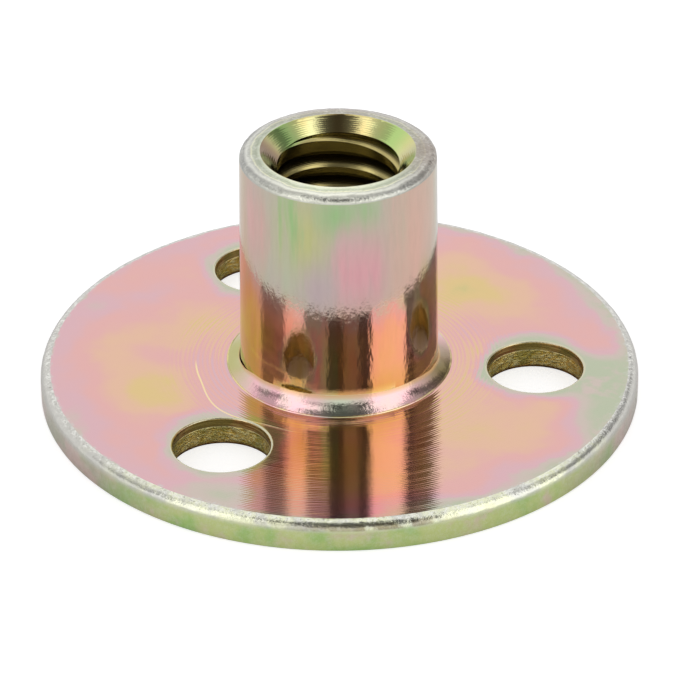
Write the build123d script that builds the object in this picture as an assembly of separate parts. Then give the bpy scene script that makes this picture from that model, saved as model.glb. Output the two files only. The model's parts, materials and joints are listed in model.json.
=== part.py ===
"""A tee nut with a round screw-on flange: one formed steel piece, plated after forming.

A sheet flange carries a threaded barrel on its upper side. The section is one profile turned about Z,
and the screw holes are punched through the flange from its upper side.
Millimetres, +Z along the barrel, origin at the centre of the flange's underside.
"""
import math
import os

from build123d import *

# Flange: a blanked disc, rolled over at its upper rim and barely broken at its lower one
flange_diameter = 25.0
flange_thickness = 1.3
rim_roll_radius = 0.42
rim_break = 0.12

# Barrel: drawn up from the flange with a slight draft, so its foot is the wider end
overall_height = 11.2
barrel_mouth_diameter = 8.06
barrel_foot_diameter = 8.27
mouth_break = 0.28

# Foot ring: the raised cone that the forming die leaves where barrel and flange meet
foot_ring_diameter = 9.34
foot_ring_height = 0.68

# Bore: drilled for an M6 thread, countersunk at the mouth, with the draw radius left below
bore_diameter = 5.0
countersink_diameter = 6.34
countersink_angle = 90.0
draw_radius = 0.9

# Screw holes: a rolled upper edge, a straight burnished land, then the wider break below it
hole_count = 3
hole_circle_diameter = 16.4
hole_diameter = 4.0
hole_roll_width = 0.1
hole_roll_depth = 0.06
hole_land_depth = 0.4
hole_break_diameter = 4.2

# How far a cutting tool runs past the faces that it opens
overrun = 0.5

BARREL_HEIGHT = overall_height - flange_thickness
FLANGE_RADIUS = flange_diameter / 2
BORE_RADIUS = bore_diameter / 2


def barrel_radius(height):
    """Radius of the drafted barrel at a height above the flange's upper face."""
    mouth_radius = barrel_mouth_diameter / 2
    foot_radius = barrel_foot_diameter / 2
    return foot_radius + (mouth_radius - foot_radius) * height / BARREL_HEIGHT


def nut_section():
    """Half section of the whole nut in the XZ plane, walked from the bore's lower end round the outside."""
    sink_radius = countersink_diameter / 2
    sink_depth = (sink_radius - BORE_RADIUS) / math.tan(math.radians(countersink_angle / 2))
    draw_end = (BORE_RADIUS + draw_radius, 0)
    rim_low = (FLANGE_RADIUS - rim_break, 0)
    rim_wall_low = (FLANGE_RADIUS, rim_break)
    rim_wall_top = (FLANGE_RADIUS, flange_thickness - rim_roll_radius)
    rim_top = (FLANGE_RADIUS - rim_roll_radius, flange_thickness)
    ring_low = (foot_ring_diameter / 2, flange_thickness)
    ring_top = (barrel_radius(foot_ring_height), flange_thickness + foot_ring_height)
    barrel_top = (barrel_radius(BARREL_HEIGHT - mouth_break), overall_height - mouth_break)
    mouth_edge = (barrel_radius(BARREL_HEIGHT) - mouth_break, overall_height)
    sink_edge = (sink_radius, overall_height)
    bore_top = (BORE_RADIUS, overall_height - sink_depth)
    bore_low = (BORE_RADIUS, draw_radius)
    with BuildSketch(Plane.XZ) as section:
        with BuildLine():
            Line(draw_end, rim_low)
            Line(rim_low, rim_wall_low)
            Line(rim_wall_low, rim_wall_top)
            RadiusArc(rim_wall_top, rim_top, -rim_roll_radius)
            Polyline(rim_top, ring_low, ring_top, barrel_top, mouth_edge, sink_edge, bore_top, bore_low)
            RadiusArc(bore_low, draw_end, -draw_radius)
        make_face()
    return section.sketch


def hole_tool():
    """Cutter for one punched screw hole, on the Z axis, from below the flange to above it."""
    land_radius = hole_diameter / 2
    break_radius = hole_break_diameter / 2
    edge_radius = land_radius + hole_roll_width
    roll_radius = (hole_roll_width**2 + hole_roll_depth**2) / (2 * hole_roll_depth)
    land_end = flange_thickness - hole_land_depth
    land_top = (land_radius, flange_thickness - hole_roll_depth)
    roll_top = (edge_radius, flange_thickness)
    with BuildSketch(Plane.XZ) as section:
        with BuildLine():
            Polyline(
                (0, -overrun),
                (break_radius, -overrun),
                (break_radius, 0),
                (land_radius, land_end),
                land_top,
            )
            RadiusArc(land_top, roll_top, roll_radius)
            Polyline(
                roll_top,
                (edge_radius, flange_thickness + overrun),
                (0, flange_thickness + overrun),
                (0, -overrun),
            )
        make_face()
    return revolve(section.sketch, Axis.Z)


def tee_nut():
    """The turned section less its ring of screw holes, the first hole on +X."""
    body = revolve(nut_section(), Axis.Z)
    places = PolarLocations(hole_circle_diameter / 2, hole_count)
    holes = [place * hole_tool() for place in places]
    return body - holes


nut = tee_nut()
os.makedirs("parts", exist_ok=True)
export_step(nut, "parts/tee_nut.step")
print("tee_nut volume mm3", round(nut.volume, 2), "box", nut.bounding_box().size)
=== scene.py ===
# %% [markdown]
# A screw-on tee nut, formed from one piece of steel, zinc plated and passivated in yellow. The nut stands
# on its flange with the threaded barrel up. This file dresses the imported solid: it keeps every main size
# of the solid, cuts the real thread that the solid leaves out, and gives the plating its film of colours.
# Lengths below are in millimetres on the nut, because that is how such a part is drawn, and the mesh goes
# to metres at the end.

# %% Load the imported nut
import json
import math

import bmesh
import bpy
from mathutils import Matrix, Vector, noise


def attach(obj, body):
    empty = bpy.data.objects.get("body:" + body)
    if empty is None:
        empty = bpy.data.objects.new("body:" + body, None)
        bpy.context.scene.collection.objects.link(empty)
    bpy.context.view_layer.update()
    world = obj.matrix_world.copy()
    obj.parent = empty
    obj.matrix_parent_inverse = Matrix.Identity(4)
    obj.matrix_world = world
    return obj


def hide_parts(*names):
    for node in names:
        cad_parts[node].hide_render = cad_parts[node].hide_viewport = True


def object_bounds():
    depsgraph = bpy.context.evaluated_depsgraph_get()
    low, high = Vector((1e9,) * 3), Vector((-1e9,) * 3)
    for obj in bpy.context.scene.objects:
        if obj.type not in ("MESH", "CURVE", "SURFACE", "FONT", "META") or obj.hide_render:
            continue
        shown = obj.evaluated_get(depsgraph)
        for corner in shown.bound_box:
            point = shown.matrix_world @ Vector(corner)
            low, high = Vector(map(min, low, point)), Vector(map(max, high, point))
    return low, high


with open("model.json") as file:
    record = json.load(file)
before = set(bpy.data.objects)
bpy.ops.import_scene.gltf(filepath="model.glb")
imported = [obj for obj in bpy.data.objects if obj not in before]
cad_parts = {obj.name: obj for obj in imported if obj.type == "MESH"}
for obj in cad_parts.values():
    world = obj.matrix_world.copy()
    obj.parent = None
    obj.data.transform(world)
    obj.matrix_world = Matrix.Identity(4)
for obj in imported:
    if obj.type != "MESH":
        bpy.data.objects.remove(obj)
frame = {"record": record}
cad_low, cad_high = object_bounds()
MM = 0.001
print("solid box in mm:", [round(side / MM, 3) for side in cad_high - cad_low])

# %% [markdown]
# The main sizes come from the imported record, so the visual nut follows the solid. The box gives the
# flange and the height, and the mounts give the sheet, the holes and the bore.

# %% Sizes from the record
mounts = {mount["name"]: mount for mount in frame["record"]["mounts"]}
flange_radius = cad_high.x / MM
nut_height = cad_high.z / MM
sheet = mounts["board_side"]["pos_m"][2] / MM
hole_count = mounts["fixing_holes"]["dims"]["count"]
hole_circle_radius = mounts["fixing_holes"]["dims"]["pcd_mm"] / 2
hole_radius = mounts["fixing_holes"]["dims"]["hole_r_mm"]
bore_radius = mounts["thread"]["dims"]["r_mm"]
print("flange radius", flange_radius, "height", nut_height, "sheet", sheet)

# %% [markdown]
# The camera is a long lens close to the table, as for a small product picture. Its place was fitted to
# the outlines of the flange, the holes and the mouth, with no shift. It looks at a point on the barrel's
# axis, from a little to the right of the -Y side.

# %% Camera
camera_azimuth = math.radians(5.73)
camera_elevation = math.radians(31.33)
camera_roll = math.radians(-0.36)
camera_distance = 168.8 * MM
camera_aim = (0.032 * MM, 2.163 * MM)
focal_length = 214.1
sensor_width = 36
nearest = 0.005


def add_object(name, data):
    """A new object in the scene that holds some data."""
    made = bpy.data.objects.new(name, data)
    bpy.context.scene.collection.objects.link(made)
    return made


away = Vector((
    math.sin(camera_azimuth) * math.cos(camera_elevation),
    -math.cos(camera_azimuth) * math.cos(camera_elevation),
    math.sin(camera_elevation),
))
level_right = Vector((math.cos(camera_azimuth), math.sin(camera_azimuth), 0))
level_up = away.cross(level_right)
aim = level_right * camera_aim[0] + Vector((0, 0, camera_aim[1]))
right = level_right * math.cos(camera_roll) + level_up * math.sin(camera_roll)
up = level_up * math.cos(camera_roll) - level_right * math.sin(camera_roll)

lens = bpy.data.cameras.new("product_camera")
lens.lens = focal_length
lens.sensor_width = sensor_width
lens.clip_start = nearest
camera = add_object("product_camera", lens)
turned = Matrix((right, up, away)).transposed().to_4x4()
camera.matrix_world = Matrix.Translation(aim + away * camera_distance) @ turned
bpy.context.scene.camera = camera
print("camera at", [round(value / MM, 1) for value in camera.location])

# %% [markdown]
# The nut is formed in a press: the sheet is drawn up into a barrel, the rim is blanked, and the holes are
# punched. Apart from the holes and the thread, its shape goes round one axis, so a lathe section that is
# spun gives clean rings of faces. The section is drawn in short runs: the rim, the barrel with its foot,
# and the hole wall. The flat faces between them are filled afterwards, so that no edge tilts their
# shading.

# %% Helpers that draw a section
def arc(centre_r, centre_z, radius, first_degrees, last_degrees, steps):
    """Points (r, z) along a round corner, both ends included."""
    points = []
    for step in range(steps + 1):
        turn = math.radians(first_degrees + (last_degrees - first_degrees) * step / steps)
        points.append((centre_r + radius * math.cos(turn), centre_z + radius * math.sin(turn)))
    return points


def spread(first, last, steps):
    """Points (r, z) on a straight run, without its ends."""
    return [
        (first[0] + (last[0] - first[0]) * step / steps, first[1] + (last[1] - first[1]) * step / steps)
        for step in range(1, steps)
    ]


def turn_section(mesh, section, steps, centre=(0.0, 0.0)):
    """Spins an open section (r, z) once round a vertical axis through centre, and adds it to the mesh."""
    turned_part = bmesh.new()
    corners = [turned_part.verts.new((centre[0] + r, centre[1], z)) for r, z in section]
    runs = [turned_part.edges.new(pair) for pair in zip(corners, corners[1:])]
    bmesh.ops.spin(
        turned_part,
        geom=corners + runs,
        cent=(centre[0], centre[1], 0),
        axis=(0, 0, 1),
        angle=math.tau,
        steps=steps,
        use_merge=True,
    )
    carrier = bpy.data.meshes.new("turned_section")
    turned_part.to_mesh(carrier)
    turned_part.free()
    mesh.from_mesh(carrier)
    bpy.data.meshes.remove(carrier)


nut_mesh = bmesh.new()
turn_steps = 288
print("a full turn has", turn_steps, "steps")

# %% [markdown]
# The rim was blanked from the upper side, so its upper edge is rolled over and the lower edge is nearly
# sharp. A narrow flat band comes first in each run, so that the big flat face beside it stays flat in its
# shading.

# %% Rim of the flange
rim_steps = 576
rim_roll = 0.42
rim_break = 0.12
flat_band = 0.05

rim_section = [(flange_radius - rim_roll - flat_band, sheet)]
rim_section += arc(flange_radius - rim_roll, sheet - rim_roll, rim_roll, 90, 0, 14)
rim_section += spread((flange_radius, sheet - rim_roll), (flange_radius, rim_break), 6)
rim_section += arc(flange_radius - rim_break, rim_break, rim_break, 0, -90, 5)
rim_section += [(flange_radius - rim_break - flat_band, 0.0)]
turn_section(nut_mesh, rim_section, rim_steps)
print("rim:", len(rim_section), "points,", rim_steps, "steps")

# %% [markdown]
# The barrel has a little draft, and a low hollow cone at its foot where the die pressed the metal up.
# Round the foot the flange shows fine rings from the tool. They are real shallow grooves, so the section
# has them. The mouth has a rounded outer edge, a flat land and a countersink, and the bore ends below in
# the radius of the draw.

# %% Barrel, foot, mouth and bore
barrel_mouth_radius = 4.03
barrel_foot_radius = 4.135
mouth_roll = (0.45, 0.3)
foot_radius = 4.67
foot_height = 0.68
foot_lip = 0.045
foot_sag = 0.05
cone_steps = 10
groove_reach = 5.94
groove_pitch = 0.13
groove_depth = 0.0032
outer_groove_share = 0.45
sink_radius = 3.17
sink_roll = 0.03
land_inset = (0.06, 0.04)
draw_radius = 0.9
seam = 0.012

grooves = int((groove_reach - foot_radius - foot_lip) / groove_pitch)
foot_section = [(groove_reach + flat_band, sheet), (groove_reach, sheet)]
for groove in range(grooves):
    crest = groove_reach - groove * groove_pitch
    depth = groove_depth * (outer_groove_share + (1 - outer_groove_share) * groove / grooves)
    foot_section.append((crest - 0.5 * groove_pitch, sheet - depth))
    foot_section.append((crest - groove_pitch, sheet))
foot_section += arc(foot_radius, sheet, foot_lip, 8, 128, 6)
seat_top = (barrel_foot_radius + seam, sheet + foot_height)
cone_start = foot_section[-1]
for number, (r, z) in enumerate(spread(cone_start, seat_top, cone_steps), 1):
    sag = foot_sag * 4 * (number / cone_steps) * (1 - number / cone_steps)
    foot_section.append((r - 0.8 * sag, z - 0.6 * sag))
foot_section += [seat_top, (barrel_foot_radius + 0.5 * seam, sheet + foot_height)]

barrel_start = (barrel_foot_radius, sheet + foot_height + seam)
barrel_end = (barrel_mouth_radius, nut_height - mouth_roll[1])
barrel_section = [barrel_start] + spread(barrel_start, barrel_end, 24)

mouth_section = [
    (barrel_mouth_radius - mouth_roll[0] * (1 - r), nut_height - mouth_roll[1] * (1 - z))
    for r, z in arc(0, 0, 1, 0, 90, 12)
]
land_start = (barrel_mouth_radius - mouth_roll[0] - land_inset[0], nut_height)
land_end = (sink_radius + land_inset[1], nut_height)
mouth_section += [land_start] + spread(land_start, land_end, 6) + [land_end]
mouth_section += arc(sink_radius + 0.4 * sink_roll, nut_height - sink_roll, sink_roll, 90, 135, 4)

sink_foot = (bore_radius, nut_height - (sink_radius - bore_radius) - 0.4 * sink_roll)
bore_section = spread(mouth_section[-1], sink_foot, 8) + [sink_foot]
bore_section += [(bore_radius, draw_radius)]
bore_section += arc(bore_radius + draw_radius, draw_radius, draw_radius, 180, 270, 12)[1:]
bore_section += [(bore_radius + draw_radius + flat_band, 0.0)]
whole_section = foot_section + barrel_section + mouth_section + bore_section
turn_section(nut_mesh, whole_section, turn_steps)
print("barrel:", len(whole_section), "points,", grooves, "grooves")

# %% [markdown]
# A punched hole has a rolled upper edge, a bright burnished land, a small step, and a rough break that
# flares downwards. Its section is spun round each hole's own axis.

# %% Screw holes
hole_steps = 120
hole_roll = (0.1, 0.06)
hole_land = 0.4
hole_flare = 0.1
hole_shelf = (0.025, 0.02)
hole_foot = (0.03, 0.04)

hole_section = [(hole_radius + hole_roll[0] + flat_band, sheet), (hole_radius + hole_roll[0], sheet)]
for step in range(1, 7):
    turn = math.radians(90 * step / 6)
    hole_section.append((
        hole_radius + hole_roll[0] * (1 - math.sin(turn)),
        sheet - hole_roll[1] * (1 - math.cos(turn)),
    ))
hole_section += spread(hole_section[-1], (hole_radius, sheet - hole_land), 5)
shelf_end = (hole_radius + hole_shelf[0], sheet - hole_land - hole_shelf[1])
flare_end = (hole_radius + hole_flare, hole_foot[1])
hole_section += [(hole_radius, sheet - hole_land), shelf_end]
hole_section += spread(shelf_end, flare_end, 11)
hole_section += [flare_end, (flare_end[0] + hole_foot[0], 0.0)]
hole_section += [(flare_end[0] + hole_foot[0] + flat_band, 0.0)]

hole_centres = []
for number in range(hole_count):
    turn = math.tau * number / hole_count
    hole_centres.append((hole_circle_radius * math.cos(turn), hole_circle_radius * math.sin(turn)))
for centre in hole_centres:
    turn_section(nut_mesh, hole_section, hole_steps, centre)
print("holes:", hole_count, "with", len(hole_section), "points each")

# %% [markdown]
# Now the two flat faces of the flange are filled between their open rings: the rim, the foot and the
# holes. The triangles are long, but they are exactly flat, and the flat bands beside them keep their
# shading even.

# %% Flat faces of the flange
same_place = 1e-5


def fill_flat(mesh, level, facing):
    """Fills the face at one level between all the open rings that lie on it."""
    rings = [
        edge for edge in mesh.edges
        if edge.is_boundary and all(abs(corner.co.z - level) < same_place for corner in edge.verts)
    ]
    filled = bmesh.ops.triangle_fill(mesh, use_beauty=True, edges=rings, normal=Vector((0, 0, facing)))
    return len([item for item in filled["geom"] if isinstance(item, bmesh.types.BMFace)])


def open_edges(mesh):
    """How many edges don't have just two faces."""
    return len([edge for edge in mesh.edges if not edge.is_manifold])


print("upper face:", fill_flat(nut_mesh, sheet, 1), "triangles")
print("underside:", fill_flat(nut_mesh, 0.0, -1), "triangles")
bmesh.ops.remove_doubles(nut_mesh, verts=nut_mesh.verts, dist=same_place)
bmesh.ops.recalc_face_normals(nut_mesh, faces=nut_mesh.faces)
print("open edges left:", open_edges(nut_mesh))

# %% [markdown]
# No pressed part is quite even. The ring at the foot stands higher in front than at its sides, where it
# lies low and leaves a dark crevice beside the barrel, and the mouth is a little out of square. These are
# small moves of the rings that are there already, worked out from the angle round the axis.

# %% Uneven foot ring and mouth
seat_places = [
    (0, 0.26), (12, 0.2), (40, 0.42), (80, 0.58), (130, 0.58), (165, 0.34), (186, 0.16), (203, 0.36),
    (220, 0.57), (242, 0.66), (276, 0.73), (321, 0.62), (346, 0.42), (360, 0.26),
]
crevice_places = [(0, 0), (165, 0), (178, 1), (198, 1), (212, 0), (360, 0)]
crevice_width = 0.045
crevice_depth = 0.16
mouth_slope = 0.042
mouth_slope_from = 9.6
mouth_low_side = camera_azimuth + math.radians(70)
off_centre = 0.08
sink_shift = Vector((-math.sin(camera_azimuth), math.cos(camera_azimuth), 0)) * off_centre


def along(places, turn):
    """The value at an angle in degrees, eased between the places of a table."""
    for (first, low), (last, high) in zip(places, places[1:]):
        if first <= turn <= last:
            share = (turn - first) / (last - first)
            share = share * share * (3 - 2 * share)
            return low + (high - low) * share
    return places[0][1]


for corner in nut_mesh.verts:
    radius = math.hypot(corner.co.x, corner.co.y)
    turn = math.degrees(math.atan2(corner.co.y, corner.co.x)) % 360
    rise = corner.co.z - sheet
    if foot_lip * 0.8 < rise < foot_height + 0.5 * seam and radius < foot_radius + 0.01:
        crevice = along(crevice_places, turn)
        corner.co.z = sheet + foot_lip + (rise - foot_lip) * (along(seat_places, turn) / foot_height)
        if radius < barrel_foot_radius + 0.8 * seam:
            corner.co.z -= crevice_depth * crevice
            corner.co.xy *= 1 + 0.35 * crevice_width * crevice / radius
        elif radius < barrel_foot_radius + crevice_width:
            corner.co.xy *= 1 + (barrel_foot_radius + crevice_width - radius) * crevice / radius
    elif abs(rise - foot_height - seam) < 10 * same_place:
        corner.co.z = sheet + along(seat_places, turn) + seam
    if corner.co.z > mouth_slope_from and radius > bore_radius + 0.01:
        share = (corner.co.z - mouth_slope_from) / (nut_height - mouth_slope_from)
        lean = 1 + math.cos(math.radians(turn) - mouth_low_side)
        corner.co.z -= mouth_slope * lean * share * share
        if radius < sink_radius + 0.06:
            corner.co += sink_shift * min(1, (radius - bore_radius) / (sink_radius - bore_radius))
print("foot ring stands", min(h for _, h in seat_places), "to", max(h for _, h in seat_places), "mm high")

# %% [markdown]
# The punch tears the lower part of each hole wall, and tumbling knocks small nicks into the rim and the
# mouth. Noise that depends only on the place moves those rings a little. The nicks go into the metal, so
# the nut keeps its box.

# %% Torn hole walls and nicked edges
tear = 0.04
nick = 0.02
mouth_reach = (sink_radius + 0.06, barrel_mouth_radius + 0.07)
mouth_from = barrel_end[1] - 2 * mouth_slope


def grain(place, size, seed):
    """A smooth random value from -1 to 1 at a place, with features of about that size."""
    return noise.noise(Vector(place) / size + Vector((seed, seed * 1.7, seed * 0.6)))


for corner in nut_mesh.verts:
    place = corner.co.copy()
    radius = math.hypot(place.x, place.y)
    for centre in hole_centres:
        out = Vector((place.x - centre[0], place.y - centre[1], 0))
        if out.length < hole_radius + hole_flare + 0.02 and 0.05 < place.z < sheet - hole_land - 0.03:
            bite = grain((place.x, place.y, place.z * 0.6), 0.16, 3.1) + 0.6 * grain(place, 0.07, 8.4)
            corner.co += out.normalized() * tear * (0.2 + bite)
    if radius > flange_radius - rim_roll + 0.01 and place.z > rim_break + 0.02:
        roll_share = min(1.0, max(0.25, (place.z - sheet + rim_roll + 0.1) / 0.2))
        knock = 0.5 * (grain(place, 0.42, 5.2) + 0.6) + 0.35 * (grain(place, 0.2, 1.9) + 0.4)
        corner.co -= Vector((place.x, place.y, radius)).normalized() * nick * roll_share * max(0.0, knock)
    if mouth_reach[0] < radius < mouth_reach[1] and place.z > mouth_from:
        knock = 0.6 * (grain(place, 0.4, 6.6) + 0.5) + 0.4 * (grain(place, 0.19, 2.3) + 0.4)
        corner.co -= Vector((place.x, place.y, 2 * radius)).normalized() * nick * max(0.0, knock)
print("walls torn by", tear, "and edges nicked by", nick, "mm at most")

# %% [markdown]
# The thread is metric, 6 mm with a pitch of 1 mm, right-handed. A tap cuts it, and the same is done here:
# one tooth section is screwed up the bore by a spin that also lifts. One corner more than a plain tooth
# needs breaks the crests as wear does, and over the last half turn the tooth draws back to the bore, so
# that the thread runs out below the countersink.

# %% Tap
thread_pitch = 1.0
thread_root = 3.0
thread_root_flat = 0.125
crest_break = 0.07
crest_break_slope = 1.2
tap_steps = 72
tap_turns = 11.5
tap_start = -0.836
tap_inner = bore_radius - 0.15
run_out_steps = 36
run_out_past = 0.04
flank = math.tan(math.radians(30))

tap_mesh = bmesh.new()
flank_end = 0.5 * thread_root_flat + (thread_root - bore_radius - crest_break) * flank
tooth = [
    (tap_inner, -flank_end - (bore_radius + crest_break - tap_inner) * crest_break_slope),
    (bore_radius + crest_break, -flank_end),
    (thread_root, -0.5 * thread_root_flat),
    (thread_root, 0.5 * thread_root_flat),
    (tap_inner, 0.5 * thread_root_flat + (thread_root - tap_inner) * flank),
]
tooth_corners = [tap_mesh.verts.new((r, 0, tap_start + z)) for r, z in tooth]
next_corners = tooth_corners[1:] + tooth_corners[:1]
tooth_edges = [tap_mesh.edges.new(pair) for pair in zip(tooth_corners, next_corners)]
tap_total = round(tap_steps * tap_turns)
bmesh.ops.spin(
    tap_mesh,
    geom=tooth_corners + tooth_edges,
    cent=(0, 0, 0),
    axis=(0, 0, 1),
    dvec=(0, 0, thread_pitch / tap_steps),
    angle=math.tau * tap_total / tap_steps,
    steps=tap_total,
)
tap_ends = [edge for edge in tap_mesh.edges if edge.is_boundary]
bmesh.ops.holes_fill(tap_mesh, edges=tap_ends, sides=len(tooth))
bmesh.ops.recalc_face_normals(tap_mesh, faces=tap_mesh.faces)
tap_end = tap_start + thread_pitch * tap_total / tap_steps
for corner in tap_mesh.verts:
    radius = math.hypot(corner.co.x, corner.co.y)
    turn = math.atan2(corner.co.y, corner.co.x) % math.tau
    turns_up = round((corner.co.z - tap_start) / thread_pitch - turn / math.tau) + turn / math.tau
    left_over = 1 - (tap_total - turns_up * tap_steps) / run_out_steps
    if left_over > 0 and radius > bore_radius:
        corner.co.xy *= 1 - left_over * (thread_root - bore_radius + run_out_past) / thread_root
print("tap:", len(tap_mesh.faces), "faces, ending at", round(tap_end, 2), "mm")

# %% [markdown]
# The coil of the tap crosses the bore and the radius below it at odd angles, so a Boolean takes it away,
# with the exact solver, which leaves closed edges there. The result is read back as a plain mesh, and the
# blank and the tap are removed.

# %% Cut the thread
def as_object(mesh, name):
    """A new object in the scene that holds a bmesh, scaled from millimetres to metres."""
    bmesh.ops.scale(mesh, vec=(MM, MM, MM), verts=mesh.verts)
    data = bpy.data.meshes.new(name)
    mesh.to_mesh(data)
    mesh.free()
    return add_object(name, data)


blank = as_object(nut_mesh, "pressed_blank")
tap = as_object(tap_mesh, "tap")
cut = blank.modifiers.new("thread", "BOOLEAN")
cut.operation = "DIFFERENCE"
cut.solver = "EXACT"
cut.object = tap
tapped = bpy.data.meshes.new_from_object(blank.evaluated_get(bpy.context.evaluated_depsgraph_get()))
bpy.data.objects.remove(blank)
bpy.data.objects.remove(tap)
nut = add_object("plated_tee_nut", tapped)
nut.data.name = "plated_tee_nut"
print("tapped nut:", len(tapped.polygons), "faces")

# %% [markdown]
# Smooth shading with sharp edges by angle keeps the crisp lines of the thread, the foot and the hole
# steps. Then each face is put in a zone by its place on the nut, because the plating looks different in
# each zone: the open face of the flange, the drawn barrel, the worn edges, the bore and the torn hole
# walls.

# %% Shading and zones
zones = ["flange_film", "barrel_film", "worn_rim", "worn_mouth", "bore_film", "punched_wall", "foot_film"]
sharp_angle = math.radians(32)
skin = 0.0005

zoned = bmesh.new()
zoned.from_mesh(nut.data)
bmesh.ops.remove_doubles(zoned, verts=zoned.verts, dist=1e-8)
for face in zoned.faces:
    face.smooth = True
    middle = face.calc_center_median() / MM
    radius = math.hypot(middle.x, middle.y)
    sink_reach = math.hypot(middle.x - sink_shift.x, middle.y - sink_shift.y)
    gap = min(math.hypot(middle.x - x, middle.y - y) for x, y in hole_centres)
    if gap < hole_radius + hole_flare + 0.05 and skin < middle.z < sheet - skin:
        zone = "punched_wall"
    elif radius > flange_radius - rim_roll and middle.z > skin:
        zone = "worn_rim"
    elif sink_reach < sink_radius + 0.02 and middle.z > skin:
        zone = "bore_film"
    elif radius < mouth_reach[1] + 0.1 and middle.z > mouth_from - 0.02:
        zone = "worn_mouth"
    elif radius < barrel_foot_radius + 0.006 and middle.z > sheet:
        zone = "barrel_film"
    elif radius < foot_radius + foot_lip and middle.z > sheet + skin:
        zone = "foot_film"
    else:
        zone = "flange_film"
    face.material_index = zones.index(zone)
print("open edges after tapping:", open_edges(zoned))
zoned.to_mesh(nut.data)
zoned.free()
nut.data.set_sharp_from_angle(angle=sharp_angle)
nut.data.calc_loop_triangles()
print("triangles:", len(nut.data.loop_triangles))

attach(nut, "root")
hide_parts("tee_nut")

# %% [markdown]
# Short helpers keep the node code readable: one adds a node, one feeds a socket with a value or a link,
# and the others are the sums, soft steps, grains and colour mixes that all the finishes are made of.

# %% Helpers that lay nodes
def lay_node(tree, kind, **settings):
    """Adds a node and sets its plain settings."""
    made = tree.nodes.new(kind)
    for name, value in settings.items():
        setattr(made, name, value)
    return made


def feed(tree, socket, value):
    """Links a socket, or sets it to a plain value."""
    if isinstance(value, bpy.types.NodeSocket):
        tree.links.new(value, socket)
    else:
        socket.default_value = value


def sums(tree, operation, *values):
    """A Math node, fed in order."""
    made = lay_node(tree, "ShaderNodeMath", operation=operation)
    for socket, value in zip(made.inputs, values):
        feed(tree, socket, value)
    return made.outputs[0]


def product(tree, *values):
    """Several masks or values, multiplied."""
    total = values[0]
    for value in values[1:]:
        total = sums(tree, "MULTIPLY", total, value)
    return total


def distance(tree, value, middle):
    """How far a value is from a middle, either way."""
    return sums(tree, "ABSOLUTE", sums(tree, "SUBTRACT", value, middle))


def parts_of(tree, vector):
    """The x, y and z of a vector."""
    made = lay_node(tree, "ShaderNodeSeparateXYZ")
    feed(tree, made.inputs[0], vector)
    return made.outputs


def stretched(tree, vector, scale):
    """A vector with its x, y and z scaled, so that a grain runs long or fine."""
    made = lay_node(tree, "ShaderNodeMapping")
    feed(tree, made.inputs["Vector"], vector)
    made.inputs["Scale"].default_value = scale
    return made.outputs[0]


def soft_step(tree, value, low, high, first=0.0, last=1.0):
    """Runs smoothly from first at low to last at high."""
    made = lay_node(tree, "ShaderNodeMapRange", interpolation_type="SMOOTHSTEP")
    for socket, fed in zip(made.inputs, (value, low, high, first, last)):
        feed(tree, socket, fed)
    return made.outputs["Result"]


def blend_colours(tree, share, first, second, how="MIX"):
    """A colour mix."""
    made = lay_node(tree, "ShaderNodeMix", data_type="RGBA", blend_type=how)
    feed(tree, made.inputs[0], share)
    feed(tree, made.inputs[6], first)
    feed(tree, made.inputs[7], second)
    return made.outputs[2]


def grainy(tree, vector, scale, detail=2.0, roughness=0.5):
    """A Noise texture's value."""
    made = lay_node(tree, "ShaderNodeTexNoise")
    feed(tree, made.inputs["Vector"], vector)
    made.inputs["Scale"].default_value = scale
    made.inputs["Detail"].default_value = detail
    made.inputs["Roughness"].default_value = roughness
    return made.outputs["Fac"]


def ramped(tree, value, stops):
    """A colour ramp through stops (position, colour)."""
    made = lay_node(tree, "ShaderNodeValToRGB")
    made.color_ramp.interpolation = "EASE"
    while len(made.color_ramp.elements) < len(stops):
        made.color_ramp.elements.new(0.5)
    for stop, (position, colour) in zip(made.color_ramp.elements, stops):
        stop.position = position
        stop.color = colour
    feed(tree, made.inputs[0], value)
    return made.outputs["Color"]


def tint(red, green, blue):
    """A colour written as on screen, 0 to 255, as the linear colour that Blender wants."""
    linear = []
    for value in (red, green, blue):
        share = value / 255
        linear.append(share / 12.92 if share <= 0.04045 else ((share + 0.055) / 1.055) ** 2.4)
    return (*linear, 1.0)


print("peach as a linear colour:", [round(value, 3) for value in tint(232, 192, 165)])

# %% [markdown]
# A node group is a part that several materials share. The first one turns Object coordinates into a place
# on the nut: the distance from the axis and the height in millimetres, the angle, and the gap to the
# nearest hole. The three holes are one hole when the angle is folded to a third of a turn.

# %% Group: place on the nut
def new_group(name, takes, gives):
    """A shader group with named sockets, given as (kind, name)."""
    tree = bpy.data.node_groups.new(name, "ShaderNodeTree")
    for kind, label in takes:
        tree.interface.new_socket(label, in_out="INPUT", socket_type=kind)
    for kind, label in gives:
        tree.interface.new_socket(label, in_out="OUTPUT", socket_type=kind)
    return tree, tree.nodes.new("NodeGroupInput"), tree.nodes.new("NodeGroupOutput")


FLOAT, VECTOR, COLOUR = "NodeSocketFloat", "NodeSocketVector", "NodeSocketColor"
third = math.tau / hole_count

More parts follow.
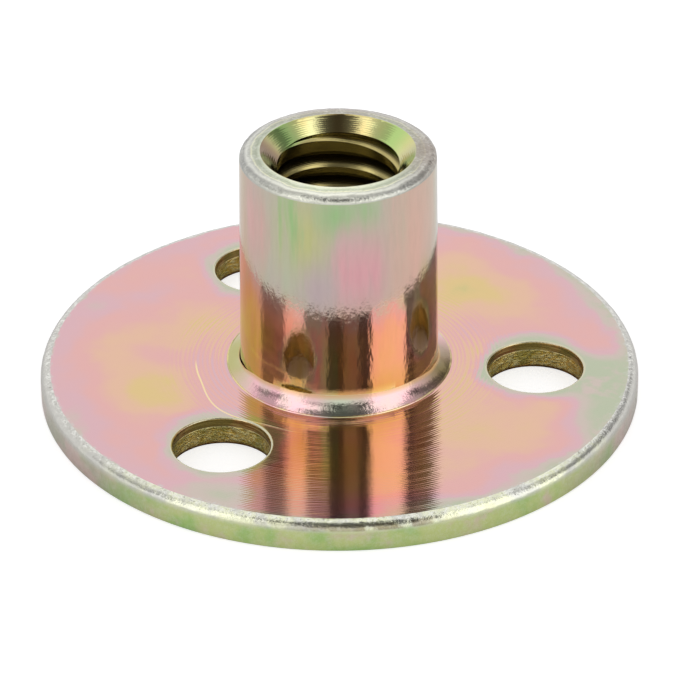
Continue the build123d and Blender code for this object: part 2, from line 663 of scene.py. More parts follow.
place_group, takes, gives = new_group(
    "place_on_nut",
    [(VECTOR, "Vector")],
    [(VECTOR, "Millimetres"), (FLOAT, "Radius"), (FLOAT, "Angle"), (FLOAT, "Height"), (FLOAT, "Hole Gap")],
)
in_mm = lay_node(place_group, "ShaderNodeVectorMath", operation="SCALE")
feed(place_group, in_mm.inputs[0], takes.outputs["Vector"])
in_mm.inputs["Scale"].default_value = 1 / MM
x, y, z = parts_of(place_group, in_mm.outputs[0])
square = sums(place_group, "ADD", product(place_group, x, x), product(place_group, y, y))
radius = sums(place_group, "SQRT", square)
angle = sums(place_group, "ARCTAN2", y, x)
folded = sums(place_group, "FLOORED_MODULO", sums(place_group, "ADD", angle, third / 2), third)
folded = sums(place_group, "SUBTRACT", folded, third / 2)
hole_x = product(place_group, radius, sums(place_group, "COSINE", folded))
hole_x = sums(place_group, "SUBTRACT", hole_x, hole_circle_radius)
hole_y = product(place_group, radius, sums(place_group, "SINE", folded))
square = sums(place_group, "ADD", product(place_group, hole_x, hole_x), product(place_group, hole_y, hole_y))
gap = sums(place_group, "SUBTRACT", sums(place_group, "SQRT", square), hole_radius)
for socket, value in zip(gives.inputs, (in_mm.outputs[0], radius, angle, z, gap)):
    feed(place_group, socket, value)
print("group:", place_group.name)

# %% [markdown]
# The passivation is a clear film, and its colour comes from its thickness, as on a soap bubble or on
# tempered steel. Where the bath hardly bit it is a silvery grey-green, then lavender, pink, peach and
# straw yellow, and then green. So the flange only has to say how thick the film is, and one ramp turns
# that into the colour. The smaller zones are more worn, so they name their tints themselves.

# %% Group: film colour
film_group, takes, gives = new_group("film_colour", [(FLOAT, "Thickness")], [(COLOUR, "Colour")])
film_stops = [
    (0.0, tint(186, 193, 168)),
    (0.14, tint(204, 190, 180)),
    (0.26, tint(218, 178, 184)),
    (0.42, tint(226, 176, 172)),
    (0.58, tint(227, 186, 160)),
    (0.74, tint(222, 194, 138)),
    (0.88, tint(192, 193, 132)),
    (1.0, tint(164, 194, 132)),
]
feed(film_group, gives.inputs["Colour"], ramped(film_group, takes.outputs["Thickness"], film_stops))
print("group:", film_group.name, "with", len(film_stops), "stops")

# %% [markdown]
# Tools leave fine circular lines on the sheet and in the countersink, evenly apart, that wander and break
# up. A sine across the radius gives the even pitch, and noise that is fine across and coarse round the
# axis bends it.

# %% Group: circular lay
lay_group, takes, gives = new_group(
    "circular_lay", [(FLOAT, "Across"), (FLOAT, "Angle"), (FLOAT, "Length")], [(FLOAT, "Height")]
)
line_wander = 9.0
line_share = 0.22
around = lay_node(lay_group, "ShaderNodeCombineXYZ")
feed(lay_group, around.inputs[0], takes.outputs["Across"])
for socket, operation in ((1, "COSINE"), (2, "SINE")):
    part = sums(lay_group, operation, takes.outputs["Angle"])
    feed(lay_group, around.inputs[socket], sums(lay_group, "MULTIPLY", part, takes.outputs["Length"]))
uneven = grainy(lay_group, around.outputs[0], 1.0, 1.5)
wander = grainy(lay_group, around.outputs[0], 0.3, 1.0)
turns = sums(lay_group, "MULTIPLY", takes.outputs["Across"], math.tau)
turns = sums(lay_group, "MULTIPLY_ADD", wander, line_wander, turns)
wave = sums(lay_group, "MULTIPLY_ADD", sums(lay_group, "SINE", turns), line_share, uneven)
feed(lay_group, gives.inputs["Height"], wave)
print("group:", lay_group.name)

# %% [markdown]
# Tumbling in the plating barrel rubs the film off the edges and leaves bright and dark specks. This group
# gives a mask of such specks, with a share of the surface that each zone sets for itself.

# %% Group: rubbed specks
speck_group, takes, gives = new_group(
    "rubbed_specks", [(VECTOR, "Vector"), (FLOAT, "Share")], [(FLOAT, "Mask"), (FLOAT, "Grain")]
)
speck_edge = 0.08
coarse = grainy(speck_group, takes.outputs["Vector"], 2.2, 3.0, 0.6)
fine = grainy(speck_group, takes.outputs["Vector"], 9.0, 3.0, 0.65)
mixed = product(speck_group, sums(speck_group, "ADD", coarse, fine), 0.5)
edge = sums(speck_group, "MULTIPLY_ADD", takes.outputs["Share"], -0.44, 0.72)
low = sums(speck_group, "SUBTRACT", edge, speck_edge)
high = sums(speck_group, "ADD", edge, speck_edge)
feed(speck_group, gives.inputs["Mask"], soft_step(speck_group, mixed, low, high))
feed(speck_group, gives.inputs["Grain"], fine)
print("group:", speck_group.name)

# %% [markdown]
# Every zone's material starts the same way: a metal shader, the place on the nut, and a bump at the end.
# These helpers set that out, place a group, and lay soft spots and patches of colour. The metal is the
# plating itself, so its colour is the colour of its reflections.

# %% A plated material
finishes = {}


def use_group(tree, group, **takes):
    """A group's outputs, with its inputs fed by name."""
    made = lay_node(tree, "ShaderNodeGroup", node_tree=group)
    for name, value in takes.items():
        feed(tree, made.inputs[name], value)
    return made.outputs


def plated(name):
    """A metal material with the place group, kept under its zone's name."""
    finishes[name] = bpy.data.materials.new(name)
    finishes[name].use_nodes = True
    tree = finishes[name].node_tree
    shader = tree.nodes["Principled BSDF"]
    shader.inputs["Metallic"].default_value = 1.0
    here = lay_node(tree, "ShaderNodeTexCoord")
    place = use_group(tree, place_group, Vector=here.outputs["Object"])
    return tree, shader, place


def specks(tree, vector, share=0.3):
    """The mask and grain of rubbed specks."""
    made = use_group(tree, speck_group, Vector=vector, Share=share)
    return made["Mask"], made["Grain"]


def ringed(tree, place, pitch, length):
    """The height of the circular lay, for lines a pitch apart in millimetres."""
    across = sums(tree, "DIVIDE", place["Radius"], pitch)
    return use_group(tree, lay_group, Across=across, Angle=place["Angle"], Length=length)["Height"]


def coat(tree, shader, colour, roughness, bump, depth_mm):
    """Gives the shader its look. A bump of 0 to 1 stands for a depth in millimetres."""
    feed(tree, shader.inputs["Base Color"], colour)
    feed(tree, shader.inputs["Roughness"], roughness)
    made = lay_node(tree, "ShaderNodeBump")
    made.inputs["Strength"].default_value = 1.0
    made.inputs["Distance"].default_value = depth_mm * MM
    feed(tree, made.inputs["Height"], bump)
    feed(tree, shader.inputs["Normal"], made.outputs["Normal"])


def spots(tree, first, second, base, places):
    """Adds soft spots (first, second, half first, half second, amount) to a base value."""
    total = base
    for middle_a, middle_b, half_a, half_b, amount in places:
        a = sums(tree, "DIVIDE", sums(tree, "SUBTRACT", first, middle_a), half_a)
        b = sums(tree, "DIVIDE", sums(tree, "SUBTRACT", second, middle_b), half_b)
        square = sums(tree, "MULTIPLY_ADD", b, b, sums(tree, "MULTIPLY", a, a))
        fall = soft_step(tree, sums(tree, "SQRT", square), 0.0, 1.0, amount, 0.0)
        total = sums(tree, "ADD", total, fall)
    return total


def shade_patches(tree, turn, height, colour, shades):
    """Lays soft patches (turn, height, half turn, half height, shade) over a colour, all the way round."""
    for middle, level, half_turn, half_height, shade in shades:
        off = sums(tree, "WRAP", sums(tree, "SUBTRACT", turn, middle), math.pi, -math.pi)
        patch = spots(tree, off, height, 0.0, [(0.0, level, half_turn, half_height, 1.0)])
        colour = blend_colours(tree, patch, colour, shade)
    return colour


print("the zones to finish:", zones)

# %% [markdown]
# On the flange the film is thickest away from the edges. Round the rim and the holes it thins out to
# grey-green. Slow noise makes the clouds, and a few soft spots put the yellow and pink clouds where the
# real part has them.

# %% Flange finish
flange_clouds = [
    (-7.6, -3.5, 3.4, 3.0, 0.24),
    (-6.4, -4.2, 1.6, 1.3, 0.08),
    (5.06, 6.02, 3.6, 3.6, 0.32),
    (6.4, -5.8, 4.2, 3.8, 0.14),
    (0.6, -8.0, 4.2, 4.6, 0.22),
    (-8.2, 4.85, 3.4, 3.2, -0.06),
    (-5.9, 1.7, 2.2, 2.4, 0.12),
    (-6.5, -8.1, 1.2, 1.2, 0.1),
    (11.4, -0.8, 3.8, 3.4, -0.75),
    (11.2, -4.2, 2.6, 2.8, -0.42),
    (8.4, -8.6, 2.6, 2.6, -0.34),
    (-10.8, 3.4, 1.6, 1.6, -0.12),
    (-3.8, -10.6, 3.0, 1.7, -0.34),
    (4.6, -11.0, 3.6, 1.6, -0.32),
]
lay_pitch = 0.12
ring_pitch = 0.19
ring_reach = (5.4, 8.0)
rim_fade = (0.5, 1.25)
slow_fade = 3.0
hole_fade = (-0.15, 1.1)
rubbed_from = (flange_radius - 0.75, flange_radius - 0.35)
scratch_radius = 6.0
scratch_bulge = 0.34
scratch_middle = -2.36
scratch_ends = (-3.04, -1.73)
scratch_fade = 0.12
scratch_edge = (0.015, 0.05)

tree, shader, place = plated("flange_film")
x, y, _ = parts_of(tree, place["Millimetres"])
cloud = grainy(tree, place["Millimetres"], 0.28, 4.0, 0.5)
thickness = sums(tree, "MULTIPLY_ADD", cloud, 0.7, 0.1)
thickness = spots(tree, x, y, thickness, flange_clouds)
ragged = sums(tree, "MULTIPLY_ADD", grainy(tree, place["Millimetres"], 0.6, 3.0, 0.5), 2.4, -1.2)
from_rim = sums(tree, "SUBTRACT", flange_radius, place["Radius"])
from_rim = sums(tree, "MULTIPLY_ADD", ragged, -0.8, from_rim)
from_hole = sums(tree, "MULTIPLY_ADD", ragged, 0.6, place["Hole Gap"])
fade_reach = soft_step(tree, x, -6.0, 6.0, *rim_fade)
thickness = product(
    tree, thickness,
    soft_step(tree, from_rim, 0.0, slow_fade, 0.62, 1.0),
    soft_step(tree, from_rim, 0.0, fade_reach, 0.08, 1.0),
    soft_step(tree, from_hole, *hole_fade),
)
rings = ringed(tree, place, lay_pitch, 2.5)
by_barrel = soft_step(tree, place["Radius"], *ring_reach, 0.34, 0.0)
tool_rings = ringed(tree, place, ring_pitch, 1.4)
toned = product(tree, sums(tree, "SUBTRACT", tool_rings, 0.5), by_barrel)
thickness = sums(tree, "ADD", thickness, toned)
thin = sums(tree, "MULTIPLY_ADD", grainy(tree, place["Millimetres"], 0.9, 4.0, 0.6), 0.7, -0.32)
thickness = sums(tree, "MAXIMUM", thickness, thin)
colour = use_group(tree, film_group, Thickness=thickness)["Colour"]
rubbed = soft_step(tree, place["Radius"], *rubbed_from, 0.02, 0.5)
mask, fine = specks(tree, place["Millimetres"], rubbed)
colour = blend_colours(tree, product(tree, mask, 0.6), colour, tint(205, 205, 200))

off_middle = distance(tree, place["Angle"], scratch_middle)
track = soft_step(tree, off_middle, 0.0, 0.42, scratch_radius + scratch_bulge, scratch_radius)
off_track = distance(tree, place["Radius"], track)
scratch = soft_step(tree, off_track, *scratch_edge, 1.0, 0.0)
for end, inwards in zip(scratch_ends, (scratch_fade, -scratch_fade)):
    scratch = product(tree, scratch, soft_step(tree, place["Angle"], end, end + inwards))
colour = blend_colours(tree, product(tree, scratch, 0.85), colour, tint(246, 226, 172))

height = sums(tree, "MULTIPLY_ADD", fine, 0.16, rings)
height = sums(tree, "MULTIPLY_ADD", grainy(tree, place["Millimetres"], 0.45, 1.0), 0.8, height)
height = sums(tree, "MULTIPLY_ADD", scratch, -1.4, height)
uneven = soft_step(tree, fine, 0.3, 0.7, 0.06, 0.1)
coat(tree, shader, colour, roughness=uneven, bump=height, depth_mm=0.0042)
print("flange clouds:", len(flange_clouds))

# %% [markdown]
# The barrel was drawn upwards, so its clouds and its grain run up and down. The film is paler here.

# %% Barrel finish
barrel_clouds = [
    (-2.85, 7.5, 0.60, 8.0, tint(216, 184, 158)),
    (-0.60, 7.5, 0.62, 9.0, tint(234, 192, 176)),
    (-2.48, 9.0, 0.34, 3.2, tint(228, 184, 178)),
    (-1.84, 9.2, 0.50, 3.2, tint(206, 206, 148)),
    (-1.45, 10.4, 0.42, 1.5, tint(172, 206, 150)),
    (-2.04, 9.9, 0.13, 2.6, tint(172, 206, 146)),
    (-1.22, 7.6, 0.42, 3.2, tint(236, 178, 184)),
    (-1.68, 6.8, 0.50, 2.2, tint(206, 186, 188)),
    (0.9, 8.2, 0.7, 3.4, tint(228, 184, 178)),
    (2.1, 9.0, 0.6, 3.0, tint(206, 200, 150)),
    (-2.82, 5.2, 0.45, 3.2, tint(214, 176, 104)),
    (-0.38, 5.6, 0.28, 2.4, tint(204, 186, 118)),
    (-2.16, 4.0, 0.30, 2.8, tint(196, 146, 118)),
    (-2.67, 2.8, 0.65, 4.2, tint(200, 190, 72)),
    (-1.55, 3.0, 0.4, 3.0, tint(206, 204, 160)),
    (-1.70, 3.6, 0.16, 3.0, tint(228, 166, 146)),
    (-1.35, 3.6, 0.12, 3.0, tint(230, 174, 138)),
    (-1.91, 3.1, 0.24, 1.9, tint(200, 154, 98)),
    (-0.48, 4.2, 0.26, 1.9, tint(200, 154, 98)),
]
gilt_foot = (2.0, 3.4)
pale_from = (4.4, 7.0)

tree, shader, place = plated("barrel_film")
streak = stretched(tree, place["Millimetres"], (1.0, 1.0, 0.14))
cloud = grainy(tree, streak, 0.9, 4.0, 0.6)
colour = blend_colours(tree, soft_step(tree, cloud, 0.3, 0.7), tint(200, 202, 178), tint(210, 196, 186))
low = blend_colours(tree, soft_step(tree, cloud, 0.35, 0.65), tint(230, 182, 156), tint(232, 194, 154))
low = blend_colours(tree, soft_step(tree, place["Height"], *gilt_foot), tint(222, 188, 118), low)
colour = blend_colours(tree, soft_step(tree, place["Height"], *pale_from), low, colour)
shaken = sums(tree, "MULTIPLY_ADD", cloud, 0.8, -0.4)
turn_here = sums(tree, "ADD", place["Angle"], shaken)
colour = shade_patches(tree, turn_here, place["Height"], colour, barrel_clouds)
lines = soft_step(tree, grainy(tree, streak, 5.0, 4.0, 0.7), 0.32, 0.62)
duller = blend_colours(tree, 1.0, colour, tint(250, 250, 249), "MULTIPLY")
colour = blend_colours(tree, lines, duller, colour)
_, fine = specks(tree, place["Millimetres"])
drawn = grainy(tree, stretched(tree, place["Millimetres"], (1.0, 1.0, 0.4)), 5.0, 2.0)
height = sums(tree, "MULTIPLY_ADD", fine, 0.25, drawn)
height = sums(tree, "MULTIPLY_ADD", grainy(tree, streak, 1.6, 1.0), 1.2, height)
coat(tree, shader, colour, roughness=0.085, bump=height, depth_mm=0.008)
print("barrel clouds:", len(barrel_clouds))

# %% [markdown]
# The rim's roll is rubbed to bare silver, with a line of specks and small dents along its top. Below it
# the wall keeps a green film in front and a grey and pink one at the sides and the back. In front the roll
# gets a painted yellow-white highlight, and a brown band of painted dark reflection on its lower part.
# Steps in height part these, and noise breaks them up.

# %% Rim finish
rim_front = -1.35
rim_front_reach = (0.6, 1.15)
bare_from = (sheet - rim_roll - 0.1, sheet - 0.5 * rim_roll)
roll_reflection_from = (sheet - 0.4, sheet - 0.3)
roll_reflection_to = (sheet - 0.14, sheet - 0.09)
roll_reflection_reach = (0.1, 0.5)
top_from = (sheet - 0.11, sheet - 0.03)

tree, shader, place = plated("worn_rim")
roll = soft_step(tree, place["Height"], *bare_from)
cloud = grainy(tree, place["Millimetres"], 0.55, 3.0, 0.55)
other = grainy(tree, place["Millimetres"], 0.8, 3.0, 0.55)
green_wall = blend_colours(tree, soft_step(tree, cloud, 0.35, 0.62), tint(166, 202, 122), tint(204, 214, 146))
green_wall = blend_colours(tree, soft_step(tree, other, 0.5, 0.76), green_wall, tint(220, 200, 184))
grey_wall = blend_colours(tree, soft_step(tree, other, 0.35, 0.65), tint(180, 178, 156), tint(206, 182, 174))
off_front = distance(tree, place["Angle"], rim_front)
off_front = sums(tree, "MULTIPLY_ADD", cloud, 0.6, sums(tree, "SUBTRACT", off_front, 0.3))
in_front = soft_step(tree, off_front, *rim_front_reach, 1.0, 0.0)
wall = blend_colours(tree, in_front, grey_wall, green_wall)
# Painted highlight: a yellow-white sheen on the bare roll in front, broken up by noise.
roll_highlight = product(tree, in_front, soft_step(tree, other, 0.36, 0.6))
bare = blend_colours(tree, in_front, tint(198, 196, 190), tint(206, 206, 198))
bare = blend_colours(tree, roll_highlight, bare, tint(232, 234, 200))
colour = blend_colours(tree, roll, wall, bare)
# Painted dark reflection: a brown band on the lower part of the roll in front.
roll_dark_reflection = product(
    tree,
    soft_step(tree, place["Height"], *roll_reflection_from),
    soft_step(tree, place["Height"], *roll_reflection_to, 1.0, 0.0),
    soft_step(tree, off_front, *roll_reflection_reach, 1.0, 0.0),
    soft_step(tree, grainy(tree, place["Millimetres"], 1.1, 3.0), 0.42, 0.56),
)
colour = blend_colours(tree, product(tree, roll_dark_reflection, 0.7), colour, tint(126, 108, 72))
_, fine = specks(tree, place["Millimetres"])
finer = stretched(tree, place["Millimetres"], (1.9, 1.9, 1.9))
dots, _ = specks(tree, finer, 0.45)
top_line = soft_step(tree, place["Height"], *top_from)
bright = product(tree, dots, sums(tree, "MULTIPLY_ADD", top_line, 0.6, 0.15))
colour = blend_colours(tree, bright, colour, tint(240, 240, 234))
dark_specks = soft_step(tree, grainy(tree, finer, 4.0, 4.0, 0.7), 0.54, 0.68)
dark_specks = product(tree, dark_specks, sums(tree, "MULTIPLY_ADD", top_line, 0.4, 0.06))
colour = blend_colours(tree, dark_specks, colour, tint(104, 100, 90))
height = sums(tree, "MULTIPLY_ADD", grainy(tree, place["Millimetres"], 3.0, 2.0), 1.2, fine)
coat(tree, shader, colour, roughness=0.14, bump=height, depth_mm=0.014)
print("rim in front from", rim_front - rim_front_reach[1], "to", rim_front + rim_front_reach[1], "radians")

# %% [markdown]
# The mouth was trimmed, and then it was knocked about with other nuts, so it is the most worn part.
# Across its land and rounded edge the film changes in rings: grey-green by the countersink, a thin bright
# line where the land turns over, a painted highlight, and bare silver with a darker lower edge of painted
# shade. One ramp across the radius makes the rings, noise bends them, and soft patches of painted light
# and shade make the front brighter and the right and the back browner.

# %% Mouth finish
# Film rings, plus a painted highlight (the bright stop at 0.4) and painted shade (the dark stop at 0.78).
mouth_rings_and_light = [
    (0.0, tint(206, 212, 188)),
    (0.1, tint(192, 198, 176)),
    (0.18, tint(170, 176, 156)),
    (0.32, tint(176, 181, 162)),
    (0.4, tint(216, 216, 188)),
    (0.46, tint(184, 185, 176)),
    (0.62, tint(210, 210, 202)),
    (0.78, tint(158, 158, 154)),
    (1.0, tint(188, 188, 182)),
]
# Painted light and shade: the front is lit brighter, the right and the back get browner shade.
mouth_light_and_shade = [(-1.6, 1.2, 0.75), (0.1, 1.0, 0.8), (1.67, 1.3, 0.6)]

tree, shader, place = plated("worn_mouth")
mask, fine = specks(tree, place["Millimetres"], 0.4)
cloud = grainy(tree, place["Millimetres"], 0.9, 3.0)
wobbly = sums(tree, "MULTIPLY_ADD", cloud, 0.3, sums(tree, "SUBTRACT", place["Radius"], 0.15))
wobbly = sums(tree, "MULTIPLY_ADD", fine, 0.08, sums(tree, "SUBTRACT", wobbly, 0.04))
across = lay_node(tree, "ShaderNodeMapRange")
for socket, value in zip(across.inputs, (wobbly, sink_radius, barrel_mouth_radius)):
    feed(tree, socket, value)
colour = ramped(tree, across.outputs["Result"], mouth_rings_and_light)
# Painted highlight: a lit copy of the mouth colour for the front.
lit_front = blend_colours(tree, 1.0, colour, tint(168, 168, 156), "DODGE")
for (turn, half_turn, share), shade in zip(mouth_light_and_shade, (lit_front, tint(160, 147, 136), tint(176, 164, 158))):
    side = soft_step(tree, distance(tree, place["Angle"], turn), 0.0, half_turn, share, 0.0)
    colour = blend_colours(tree, side, colour, shade)
colour = blend_colours(tree, product(tree, mask, 0.3), colour, tint(238, 238, 228))
pits = soft_step(tree, grainy(tree, place["Millimetres"], 6.0, 4.0, 0.7), 0.54, 0.7, 0.0, 0.2)
colour = blend_colours(tree, pits, colour, tint(120, 116, 106))
height = sums(tree, "MULTIPLY_ADD", grainy(tree, place["Millimetres"], 1.8, 2.0), 2.4, fine)
coat(tree, shader, colour, roughness=0.15, bump=height, depth_mm=0.024)
print("mouth:", len(mouth_rings_and_light), "stops from the countersink to the barrel")

# %% [markdown]
# The countersink was cut after forming, so it is bright, with fine turning lines and patches of green and
# straw, and a dark patch at the back that is a painted reflection of the lens slot. The thread below it is
# darker and duller, and darkest in the grooves behind its crests, which is painted shade. A step in
# height parts countersink and thread, and a step across the radius parts crests and grooves.

# %% Bore finish
# The first patch, dark at the back, is a painted reflection of the dark lens slot; the others tint the film
# green, grey-straw and brown.
sink_tints_and_dark_reflection = [
    (1.67, 10.9, 0.34, 4.0, tint(146, 126, 82)),
    (2.55, 10.9, 0.5, 4.0, tint(172, 206, 130)),
    (3.14, 10.9, 0.5, 4.0, tint(140, 118, 98)),
    (-3.0, 10.9, 0.6, 4.0, tint(140, 118, 98)),
    (0.75, 10.9, 0.55, 4.0, tint(180, 208, 130)),
    (0.0, 10.9, 0.5, 4.0, tint(172, 172, 138)),
]
sink_line_pitch = 0.07
thread_from = (nut_height - 0.85, nut_height - 0.68)
thread_depth = (bore_radius + 0.06, bore_radius + 0.2)

tree, shader, place = plated("bore_film")
cloud = grainy(tree, place["Millimetres"], 0.9, 2.0)
colour = blend_colours(tree, soft_step(tree, cloud, 0.3, 0.7), tint(224, 220, 160), tint(226, 206, 142))
colour = shade_patches(tree, place["Angle"], place["Height"], colour, sink_tints_and_dark_reflection)
above = soft_step(tree, place["Height"], *thread_from)
depth = soft_step(tree, place["Radius"], *thread_depth)
# Painted shade: the thread darkens from its crests into its grooves.
shaded_thread = blend_colours(tree, depth, tint(190, 176, 118), tint(112, 102, 64))
colour = blend_colours(tree, above, shaded_thread, colour)
duller = sums(tree, "MULTIPLY_ADD", above, -0.12, 0.22)
rings = ringed(tree, place, sink_line_pitch, 1.5)
_, fine = specks(tree, place["Millimetres"])
height = sums(tree, "MULTIPLY_ADD", fine, 0.8, rings)
coat(tree, shader, colour, roughness=duller, bump=height, depth_mm=0.004)
print("sink shades:", len(sink_tints_and_dark_reflection))

# %% [markdown]
# A hole's wall has two looks: a burnished land with level streaks above, and a torn, grainy break below.
# Both are golden, because their light has gone from wall to wall, and slow noise turns parts of them
# olive. The break's grain is in the mesh as well, so the bump here only adds what is finer.

# %% Punched wall finish
low_edge_reach = (0.06, 0.2)
wall_land = (sheet - hole_land - 0.05, sheet - hole_land)
step_highlight_width = (0.015, 0.05)
wall_top = (sheet - 0.06, sheet - 0.02)

tree, shader, place = plated("punched_wall")
land = soft_step(tree, place["Height"], *wall_land)
rough = grainy(tree, stretched(tree, place["Millimetres"], (1.0, 1.0, 2.2)), 5.0, 4.0, 0.7)
torn = blend_colours(tree, soft_step(tree, rough, 0.4, 0.64), tint(232, 198, 98), tint(255, 246, 186))
patchy = soft_step(tree, grainy(tree, place["Millimetres"], 0.8, 2.0), 0.42, 0.6, 0.0, 0.6)
torn = blend_colours(tree, patchy, torn, tint(166, 164, 74))
# Painted shade: the wall turns dark brown towards its lower edge.
low_edge_shade = soft_step(tree, place["Height"], *low_edge_reach)
torn = blend_colours(tree, low_edge_shade, tint(130, 96, 52), torn)
burnish = stretched(tree, place["Millimetres"], (0.4, 0.4, 9.0))
drag = soft_step(tree, grainy(tree, burnish, 1.6, 3.0, 0.6), 0.35, 0.65)
smooth_land = blend_colours(tree, drag, tint(172, 112, 62), tint(255, 214, 136))
smooth_land = blend_colours(tree, patchy, smooth_land, tint(150, 152, 76))
colour = blend_colours(tree, land, torn, smooth_land)
# Painted highlight: a bright line along the step under the land.
step_highlight = distance(tree, place["Height"], sheet - hole_land - 0.01)
step_highlight = soft_step(tree, step_highlight, *step_highlight_width, 0.9, 0.0)
colour = blend_colours(tree, product(tree, step_highlight, rough), colour, tint(255, 248, 200))
top = soft_step(tree, place["Height"], *wall_top)
colour = blend_colours(tree, top, colour, tint(206, 202, 176))
height = product(tree, sums(tree, "MULTIPLY_ADD", land, -0.85, 1.0), rough)
coat(tree, shader, colour, roughness=0.18, bump=height, depth_mm=0.09)
print("punched walls: land down to", round(sheet - hole_land, 2), "mm")

# %% [markdown]
# The die ironed the ring at the foot, so it is the smoothest and brightest place, a pink silver. At its
# left side it is olive. At its right side a dark olive patch and in front a darker green-grey one are
# painted reflections of dark parts of the tent. Its upper end by the barrel is golden, and along its
# lower lip runs a pale line of painted highlight. It is the last zone, so all the finishes go on the nut
# here, in the order of the zones.

# %% Foot ring finish
# Painted reflections: the dark olive patch at the right and the green-grey one in front. The two olive
# patches at the left only tint the ring.
foot_tints_and_reflections = [
    (-2.95, 1.5, 0.6, 6.0, tint(186, 182, 124)),
    (3.1, 1.5, 0.6, 6.0, tint(186, 182, 124)),
    (-0.15, 1.5, 0.8, 6.0, tint(130, 114, 74)),
    (-1.47, 1.5, 0.36, 6.0, tint(196, 202, 180)),
]
gilt_seat = (barrel_foot_radius + 0.02, barrel_foot_radius + 0.13)
lip_highlight_reach = (foot_radius - 0.05, foot_radius - 0.01)

tree, shader, place = plated("foot_film")
cloud = grainy(tree, place["Millimetres"], 1.2, 3.0)
colour = blend_colours(tree, soft_step(tree, cloud, 0.35, 0.65), tint(238, 188, 194), tint(222, 192, 186))
colour = shade_patches(tree, place["Angle"], place["Height"], colour, foot_tints_and_reflections)
seat = soft_step(tree, place["Radius"], *gilt_seat, 0.7, 0.0)
colour = blend_colours(tree, seat, colour, tint(206, 160, 104))
# Painted highlight: a pale line along the lower lip, broken up by noise.
lip_highlight = soft_step(tree, place["Radius"], *lip_highlight_reach, 0.0, 0.7)
lip_highlight = product(tree, lip_highlight, soft_step(tree, cloud, 0.35, 0.6))
colour = blend_colours(tree, lip_highlight, colour, tint(232, 214, 150))
_, fine = specks(tree, place["Millimetres"])
height = sums(tree, "MULTIPLY_ADD", grainy(tree, place["Millimetres"], 1.6, 2.0), 2.0, fine)
coat(tree, shader, colour, roughness=0.075, bump=height, depth_mm=0.008)

for zone in zones:
    nut.data.materials.append(finishes[zone])
print("finishes:", [material.name for material in nut.data.materials])

# %% [markdown]
# The nut stands on a sheet of white paper in a white light tent. The paper is diffuse, with a share of
# its own white for the camera, so that it reads as white and still keeps a soft shadow round the flange.
# Reflections see less of that white, and a darker paper under the flange, where the light hardly gets.

# %% Floor
paper_reach = 1.5
paper_shadow = (11.6 * MM, 12.4 * MM)
paper_grey = 0.5
mirrored_grey = (0.3, 0.86)
paper_glow = 0.7
mirrored_glow = 0.06


def grey(value):
    """A linear grey."""
    return (value, value, value, 1.0)


paper_mesh = bmesh.new()
bmesh.ops.create_circle(paper_mesh, cap_ends=True, segments=96, radius=paper_reach)
paper_data = bpy.data.meshes.new("paper_floor")
paper_mesh.to_mesh(paper_data)
paper_mesh.free()
paper = add_object("paper_floor", paper_data)

paper_material = bpy.data.materials.new("white_paper")
paper_material.use_nodes = True
tree = paper_material.node_tree
tree.nodes.remove(tree.nodes["Principled BSDF"])
rays = lay_node(tree, "ShaderNodeLightPath")
here = lay_node(tree, "ShaderNodeTexCoord")
reach = lay_node(tree, "ShaderNodeVectorMath", operation="LENGTH")
feed(tree, reach.inputs[0], here.outputs["Object"])
under = soft_step(tree, reach.outputs["Value"], *paper_shadow)
mirror_shade = blend_colours(tree, under, grey(mirrored_grey[0]), grey(mirrored_grey[1]))
paper_shade = blend_colours(tree, rays.outputs["Is Glossy Ray"], grey(paper_grey), mirror_shade)
matt = lay_node(tree, "ShaderNodeBsdfDiffuse")
feed(tree, matt.inputs["Color"], paper_shade)
glow = lay_node(tree, "ShaderNodeEmission")
glow.inputs["Color"].default_value = grey(1.0)
seen = sums(tree, "MAXIMUM", rays.outputs["Is Camera Ray"], rays.outputs["Is Transmission Ray"])
seen = product(tree, seen, paper_glow)
mirrored = product(tree, rays.outputs["Is Glossy Ray"], mirrored_glow)
feed(tree, glow.inputs["Strength"], sums(tree, "MAXIMUM", seen, mirrored))
both = lay_node(tree, "ShaderNodeAddShader")
feed(tree, both.inputs[0], matt.outputs[0])
feed(tree, both.inputs[1], glow.outputs[0])
feed(tree, tree.nodes["Material Output"].inputs["Surface"], both.outputs[0])
paper_data.materials.append(paper_material)
print("paper floor, radius", paper_reach, "m")

# %% [markdown]
# The tent is white all round, with gaps: the slot for the lens in front, and darker corners at the sides.
# On polished metal the gaps draw the shape: the dark bands on the barrel's foot, the flange and the ring.
# A gap or a lamp is a patch of directions in degrees: from and to, to the right of the camera, from and
# to in height, then the width of its soft edge and the change of light. The camera itself sees white. The
# low part of the slot counts only for light that has met the nut twice, as between barrel and flange,
# because seen from behind the flat flange would mirror nothing but the slot and turn black. Ray Depth
# tells the two apart: it counts the tent as one more, so it is 2 after one reflection and 3 after two.

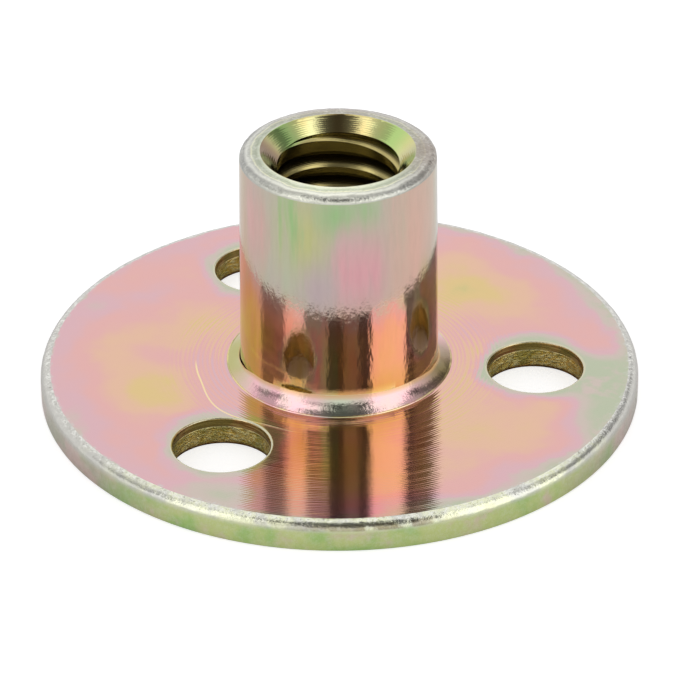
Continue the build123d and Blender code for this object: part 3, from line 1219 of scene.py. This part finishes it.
# %% Light tent
lens_slot = [
    (-14, 37, 20, 93, 4, -0.74),
    (-14, 5, 20, 50, 4, -0.66),
    (23, 37, 20, 50, 4, -0.66),
    (-40, -14, 20, 39, 4, -0.62),
]
slot_from = (30, 36)
second_reflection = 2.5
tent_gaps = [
    (-12, 36, 53, 93, 6, -0.5),
    (-54, -12, 53, 93, 6, -0.84),
    (34, 54, 53, 93, 6, -0.84),
    (-102, -66, 25, 37, 4, -0.68),
    (83, 96, 25, 37, 4, -0.92),
    (94, 158, 25, 39, 4, -0.74),
    (-110, -78, 37, 60, 8, -0.4),
    (86, 125, 35, 60, 8, -0.4),
]
tent_lamps = [
    (-66, -42, 8, 40, 4, 0.5),
    (-76, -27, 40, 66, 5, 0.5),
    (36, 84, 0, 66, 4, 0.5),
]

world = bpy.data.worlds.new("light_tent")
bpy.context.scene.world = world
world.use_nodes = True
tree = world.node_tree
background = tree.nodes["Background"]
here = lay_node(tree, "ShaderNodeTexCoord")
spun = lay_node(tree, "ShaderNodeVectorRotate", rotation_type="Z_AXIS")
spun.inputs["Angle"].default_value = -camera_azimuth
feed(tree, spun.inputs["Vector"], here.outputs["Generated"])
x, y, z = parts_of(tree, spun.outputs[0])
sideways = sums(tree, "DEGREES", sums(tree, "ARCTAN2", x, product(tree, y, -1.0)))
raised = sums(tree, "DEGREES", sums(tree, "ARCSINE", z))


def tent_patch(left, right_end, lowest, highest, soft, change):
    """One plus a change inside a patch of directions with soft edges."""
    inside = product(
        tree,
        soft_step(tree, sideways, left - soft / 2, left + soft / 2),
        soft_step(tree, sideways, right_end - soft / 2, right_end + soft / 2, 1.0, 0.0),
        soft_step(tree, raised, lowest - soft / 2, lowest + soft / 2),
        soft_step(tree, raised, highest - soft / 2, highest + soft / 2, 1.0, 0.0),
    )
    return sums(tree, "MULTIPLY_ADD", inside, change, 1.0)


def tent_light(light, patches):
    """A light that is changed by patches of directions in turn."""
    return product(tree, light, *[tent_patch(*patch) for patch in patches])


rays = lay_node(tree, "ShaderNodeLightPath")
twice = sums(tree, "GREATER_THAN", rays.outputs["Ray Depth"], second_reflection)
slot_share = sums(tree, "MAXIMUM", twice, soft_step(tree, raised, *slot_from))
slot_dark = sums(tree, "SUBTRACT", 1.0, tent_light(1.0, lens_slot))
light = sums(tree, "SUBTRACT", 1.0, product(tree, slot_share, slot_dark))
light = tent_light(light, tent_gaps + tent_lamps)
light = sums(tree, "MAXIMUM", light, rays.outputs["Is Camera Ray"])
feed(tree, background.inputs["Strength"], light)
background.inputs["Color"].default_value = grey(1.0)
bpy.context.scene.view_settings.view_transform = "Standard"
print("tent with", len(lens_slot) + len(tent_gaps), "gaps and", len(tent_lamps), "lamps")
